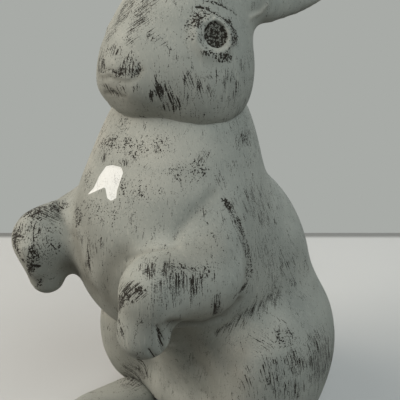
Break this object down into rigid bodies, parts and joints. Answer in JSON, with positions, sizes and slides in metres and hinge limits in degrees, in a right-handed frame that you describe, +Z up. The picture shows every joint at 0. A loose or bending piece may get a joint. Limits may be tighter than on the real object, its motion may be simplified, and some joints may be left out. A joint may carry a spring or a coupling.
{
  "type": "rabbit figurine",
  "caption": "Matt grey painted cast rabbit ornament standing upright on its haunches with raised forepaws and swept-back ears, for display on a shelf, table or in a garden.",
  "frame": {"origin": "centre of the bounding box in X and Y, on the plane under the felt pads", "axes": "+Z up, the rabbit looks along -Y, its own left side is +X"},
  "size_m": [0.1834, 0.2374, 0.3418],
  "materials": {
    "painted_casting": "matt grey paint with dark brown dry-brushed strokes over a white mineral casting",
    "pin_steel": "plain drawn wire",
    "dowel_wood": "raw beech",
    "plate_board": "raw fibreboard",
    "pad_felt": "pressed felt"
  },
  "bodies": {
    "root": {"torso_left_shell": "painted_casting", "torso_right_shell": "painted_casting", "head": "painted_casting", "tail": "painted_casting", "left_ear": "painted_casting", "right_ear": "painted_casting", "left_forepaw": "painted_casting", "right_forepaw": "painted_casting", "left_hind_foot": "painted_casting", "right_hind_foot": "painted_casting", "neck_dowel": "dowel_wood", "tail_peg": "dowel_wood", "left_forepaw_peg": "dowel_wood", "right_forepaw_peg": "dowel_wood", "left_foot_dowel": "dowel_wood", "right_foot_dowel": "dowel_wood", "left_ear_pin": "pin_steel", "right_ear_pin": "pin_steel", "base_plate": "plate_board", "left_front_pad": "pad_felt", "right_front_pad": "pad_felt", "left_rear_pad": "pad_felt", "right_rear_pad": "pad_felt"}
  },
  "joints": []
}
